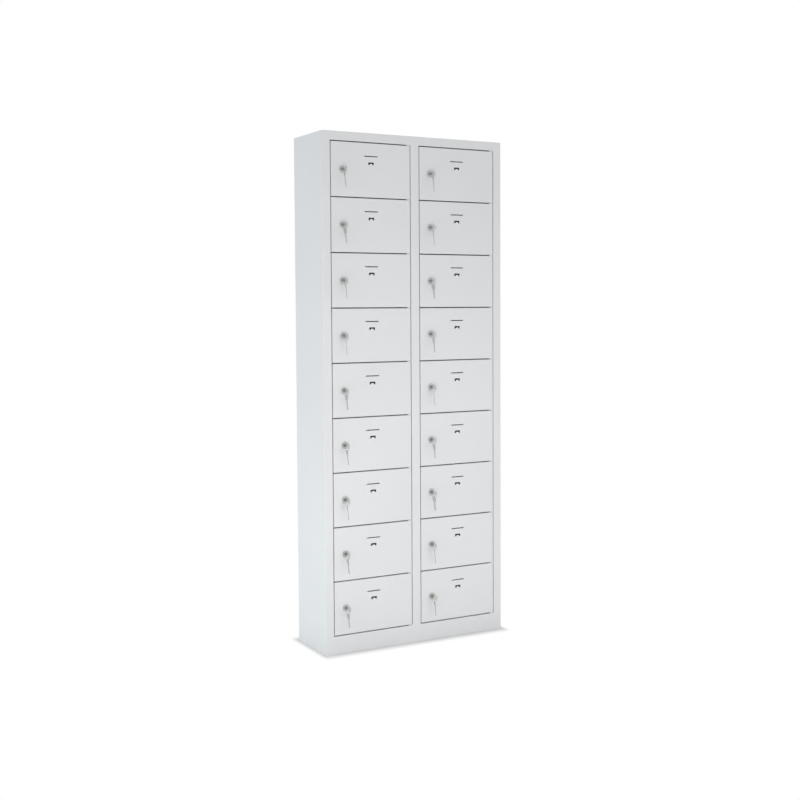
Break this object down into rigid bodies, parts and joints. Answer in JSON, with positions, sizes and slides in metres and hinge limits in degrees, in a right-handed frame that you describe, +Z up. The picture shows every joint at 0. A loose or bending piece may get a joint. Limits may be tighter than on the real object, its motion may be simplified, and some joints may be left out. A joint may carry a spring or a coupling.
{
  "type": "valuables locker",
  "caption": "Tall, shallow steel locker for valuables: two columns of small flush doors, each with a cam lock, keys, a label slot and its own compartment.",
  "frame": {"origin": "middle of the footprint on the floor, the keys in the locks included", "axes": "+Z up, -Y towards the person who opens the doors, +X to that person's right"},
  "size_m": [0.78, 0.2947, 1.95],
  "materials": {
    "light_grey_paint": "satin powder coat, faint orange peel",
    "nickel_plate": "polished nickel plate, lightly handled",
    "zinc_plate": "bright zinc plate",
    "black_rubber": "matt"
  },
  "bodies": {
    "cabinet": {"left_side_panel": "light_grey_paint", "right_side_panel": "light_grey_paint", "left_stile": "light_grey_paint", "right_stile": "light_grey_paint", "centre_stile": "light_grey_paint", "centre_partition": "light_grey_paint", "back_panel": "light_grey_paint", "top_panel": "light_grey_paint", "top_rail": "light_grey_paint", "base_panel": "light_grey_paint", "plinth_front": "light_grey_paint", "left_column_shelves": "light_grey_paint", "right_column_shelves": "light_grey_paint", "pivot_brackets": "light_grey_paint", "pivot_pins": "zinc_plate", "door_buffers": "black_rubber"},
    "door_L1": {"door_L1": "light_grey_paint"},
    "lock_L1": {"lock_L1": "nickel_plate"},
    "door_L2": {"door_L2": "light_grey_paint"},
    "lock_L2": {"lock_L2": "nickel_plate"},
    "door_L3": {"door_L3": "light_grey_paint"},
    "lock_L3": {"lock_L3": "nickel_plate"},
    "door_L4": {"door_L4": "light_grey_paint"},
    "lock_L4": {"lock_L4": "nickel_plate"},
    "door_L5": {"door_L5": "light_grey_paint"},
    "lock_L5": {"lock_L5": "nickel_plate"},
    "door_L6": {"door_L6": "light_grey_paint"},
    "lock_L6": {"lock_L6": "nickel_plate"},
    "door_L7": {"door_L7": "light_grey_paint"},
    "lock_L7": {"lock_L7": "nickel_plate"},
    "door_L8": {"door_L8": "light_grey_paint"},
    "lock_L8": {"lock_L8": "nickel_plate"},
    "door_L9": {"door_L9": "light_grey_paint"},
    "lock_L9": {"lock_L9": "nickel_plate"},
    "door_R1": {"door_R1": "light_grey_paint"},
    "lock_R1": {"lock_R1": "nickel_plate"},
    "door_R2": {"door_R2": "light_grey_paint"},
    "lock_R2": {"lock_R2": "nickel_plate"},
    "door_R3": {"door_R3": "light_grey_paint"},
    "lock_R3": {"lock_R3": "nickel_plate"},
    "door_R4": {"door_R4": "light_grey_paint"},
    "lock_R4": {"lock_R4": "nickel_plate"},
    "door_R5": {"door_R5": "light_grey_paint"},
    "lock_R5": {"lock_R5": "nickel_plate"},
    "door_R6": {"door_R6": "light_grey_paint"},
    "lock_R6": {"lock_R6": "nickel_plate"},
    "door_R7": {"door_R7": "light_grey_paint"},
    "lock_R7": {"lock_R7": "nickel_plate"},
    "door_R8": {"door_R8": "light_grey_paint"},
    "lock_R8": {"lock_R8": "nickel_plate"},
    "door_R9": {"door_R9": "light_grey_paint"},
    "lock_R9": {"lock_R9": "nickel_plate"}
  },
  "joints": [
    {"name": "door_L1_swing", "type": "hinge", "parent": "cabinet", "child": "door_L1", "pos_m": [-0.03, -0.09765, 1.8125], "axis": [0, 0, 1], "range_deg": [0, 110]},
    {"name": "lock_L1_turn", "type": "hinge", "parent": "door_L1", "child": "lock_L1", "pos_m": [-0.306, -0.10265, 1.8125], "axis": [0, 1, 0], "range_deg": [0, 90]},
    {"name": "door_L2_swing", "type": "hinge", "parent": "cabinet", "child": "door_L2", "pos_m": [-0.03, -0.09765, 1.6075], "axis": [0, 0, 1], "range_deg": [0, 110]},
    {"name": "lock_L2_turn", "type": "hinge", "parent": "door_L2", "child": "lock_L2", "pos_m": [-0.306, -0.10265, 1.6075], "axis": [0, 1, 0], "range_deg": [0, 90]},
    {"name": "door_L3_swing", "type": "hinge", "parent": "cabinet", "child": "door_L3", "pos_m": [-0.03, -0.09765, 1.4025], "axis": [0, 0, 1], "range_deg": [0, 110]},
    {"name": "lock_L3_turn", "type": "hinge", "parent": "door_L3", "child": "lock_L3", "pos_m": [-0.306, -0.10265, 1.4025], "axis": [0, 1, 0], "range_deg": [0, 90]},
    {"name": "door_L4_swing", "type": "hinge", "parent": "cabinet", "child": "door_L4", "pos_m": [-0.03, -0.09765, 1.1975], "axis": [0, 0, 1], "range_deg": [0, 110]},
    {"name": "lock_L4_turn", "type": "hinge", "parent": "door_L4", "child": "lock_L4", "pos_m": [-0.306, -0.10265, 1.1975], "axis": [0, 1, 0], "range_deg": [0, 90]},
    {"name": "door_L5_swing", "type": "hinge", "parent": "cabinet", "child": "door_L5", "pos_m": [-0.03, -0.09765, 0.9925], "axis": [0, 0, 1], "range_deg": [0, 110]},
    {"name": "lock_L5_turn", "type": "hinge", "parent": "door_L5", "child": "lock_L5", "pos_m": [-0.306, -0.10265, 0.9925], "axis": [0, 1, 0], "range_deg": [0, 90]},
    {"name": "door_L6_swing", "type": "hinge", "parent": "cabinet", "child": "door_L6", "pos_m": [-0.03, -0.09765, 0.7875], "axis": [0, 0, 1], "range_deg": [0, 110]},
    {"name": "lock_L6_turn", "type": "hinge", "parent": "door_L6", "child": "lock_L6", "pos_m": [-0.306, -0.10265, 0.7875], "axis": [0, 1, 0], "range_deg": [0, 90]},
    {"name": "door_L7_swing", "type": "hinge", "parent": "cabinet", "child": "door_L7", "pos_m": [-0.03, -0.09765, 0.5825], "axis": [0, 0, 1], "range_deg": [0, 110]},
    {"name": "lock_L7_turn", "type": "hinge", "parent": "door_L7", "child": "lock_L7", "pos_m": [-0.306, -0.10265, 0.5825], "axis": [0, 1, 0], "range_deg": [0, 90]},
    {"name": "door_L8_swing", "type": "hinge", "parent": "cabinet", "child": "door_L8", "pos_m": [-0.03, -0.09765, 0.3775], "axis": [0, 0, 1], "range_deg": [0, 110]},
    {"name": "lock_L8_turn", "type": "hinge", "parent": "door_L8", "child": "lock_L8", "pos_m": [-0.306, -0.10265, 0.3775], "axis": [0, 1, 0], "range_deg": [0, 90]},
    {"name": "door_L9_swing", "type": "hinge", "parent": "cabinet", "child": "door_L9", "pos_m": [-0.03, -0.09765, 0.1725], "axis": [0, 0, 1], "range_deg": [0, 110]},
    {"name": "lock_L9_turn", "type": "hinge", "parent": "door_L9", "child": "lock_L9", "pos_m": [-0.306, -0.10265, 0.1725], "axis": [0, 1, 0], "range_deg": [0, 90]},
    {"name": "door_R1_swing", "type": "hinge", "parent": "cabinet", "child": "door_R1", "pos_m": [0.344, -0.09765, 1.8125], "axis": [0, 0, 1], "range_deg": [0, 110]},
    {"name": "lock_R1_turn", "type": "hinge", "parent": "door_R1", "child": "lock_R1", "pos_m": [0.068, -0.10265, 1.8125], "axis": [0, 1, 0], "range_deg": [0, 90]},
    {"name": "door_R2_swing", "type": "hinge", "parent": "cabinet", "child": "door_R2", "pos_m": [0.344, -0.09765, 1.6075], "axis": [0, 0, 1], "range_deg": [0, 110]},
    {"name": "lock_R2_turn", "type": "hinge", "parent": "door_R2", "child": "lock_R2", "pos_m": [0.068, -0.10265, 1.6075], "axis": [0, 1, 0], "range_deg": [0, 90]},
    {"name": "door_R3_swing", "type": "hinge", "parent": "cabinet", "child": "door_R3", "pos_m": [0.344, -0.09765, 1.4025], "axis": [0, 0, 1], "range_deg": [0, 110]},
    {"name": "lock_R3_turn", "type": "hinge", "parent": "door_R3", "child": "lock_R3", "pos_m": [0.068, -0.10265, 1.4025], "axis": [0, 1, 0], "range_deg": [0, 90]},
    {"name": "door_R4_swing", "type": "hinge", "parent": "cabinet", "child": "door_R4", "pos_m": [0.344, -0.09765, 1.1975], "axis": [0, 0, 1], "range_deg": [0, 110]},
    {"name": "lock_R4_turn", "type": "hinge", "parent": "door_R4", "child": "lock_R4", "pos_m": [0.068, -0.10265, 1.1975], "axis": [0, 1, 0], "range_deg": [0, 90]},
    {"name": "door_R5_swing", "type": "hinge", "parent": "cabinet", "child": "door_R5", "pos_m": [0.344, -0.09765, 0.9925], "axis": [0, 0, 1], "range_deg": [0, 110]},
    {"name": "lock_R5_turn", "type": "hinge", "parent": "door_R5", "child": "lock_R5", "pos_m": [0.068, -0.10265, 0.9925], "axis": [0, 1, 0], "range_deg": [0, 90]},
    {"name": "door_R6_swing", "type": "hinge", "parent": "cabinet", "child": "door_R6", "pos_m": [0.344, -0.09765, 0.7875], "axis": [0, 0, 1], "range_deg": [0, 110]},
    {"name": "lock_R6_turn", "type": "hinge", "parent": "door_R6", "child": "lock_R6", "pos_m": [0.068, -0.10265, 0.7875], "axis": [0, 1, 0], "range_deg": [0, 90]},
    {"name": "door_R7_swing", "type": "hinge", "parent": "cabinet", "child": "door_R7", "pos_m": [0.344, -0.09765, 0.5825], "axis": [0, 0, 1], "range_deg": [0, 110]},
    {"name": "lock_R7_turn", "type": "hinge", "parent": "door_R7", "child": "lock_R7", "pos_m": [0.068, -0.10265, 0.5825], "axis": [0, 1, 0], "range_deg": [0, 90]},
    {"name": "door_R8_swing", "type": "hinge", "parent": "cabinet", "child": "door_R8", "pos_m": [0.344, -0.09765, 0.3775], "axis": [0, 0, 1], "range_deg": [0, 110]},
    {"name": "lock_R8_turn", "type": "hinge", "parent": "door_R8", "child": "lock_R8", "pos_m": [0.068, -0.10265, 0.3775], "axis": [0, 1, 0], "range_deg": [0, 90]},
    {"name": "door_R9_swing", "type": "hinge", "parent": "cabinet", "child": "door_R9", "pos_m": [0.344, -0.09765, 0.1725], "axis": [0, 0, 1], "range_deg": [0, 110]},
    {"name": "lock_R9_turn", "type": "hinge", "parent": "door_R9", "child": "lock_R9", "pos_m": [0.068, -0.10265, 0.1725], "axis": [0, 1, 0], "range_deg": [0, 90]}
  ]
}
